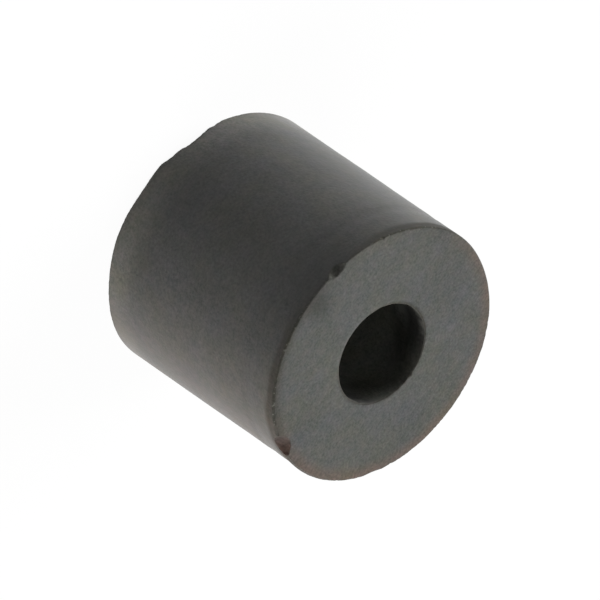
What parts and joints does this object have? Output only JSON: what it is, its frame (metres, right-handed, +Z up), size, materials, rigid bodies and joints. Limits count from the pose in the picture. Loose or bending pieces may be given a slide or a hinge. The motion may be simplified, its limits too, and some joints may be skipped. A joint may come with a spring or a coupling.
{
  "type": "ferrite bead",
  "caption": "Short thick-walled tube of sintered ferrite with a plain through bore, threaded onto a wire to choke high-frequency noise.",
  "frame": {"origin": "middle of the bottom end, on the bore's axis", "axes": "+Z up along the bore; -Y faces the front; the larger chip on the top edge lies towards +X"},
  "size_m": [0.0035, 0.0034, 0.0033],
  "materials": {
    "ferrite": "matt sintered ferrite, dark grey"
  },
  "bodies": {
    "root": {"ferrite_body": "ferrite"}
  },
  "joints": []
}
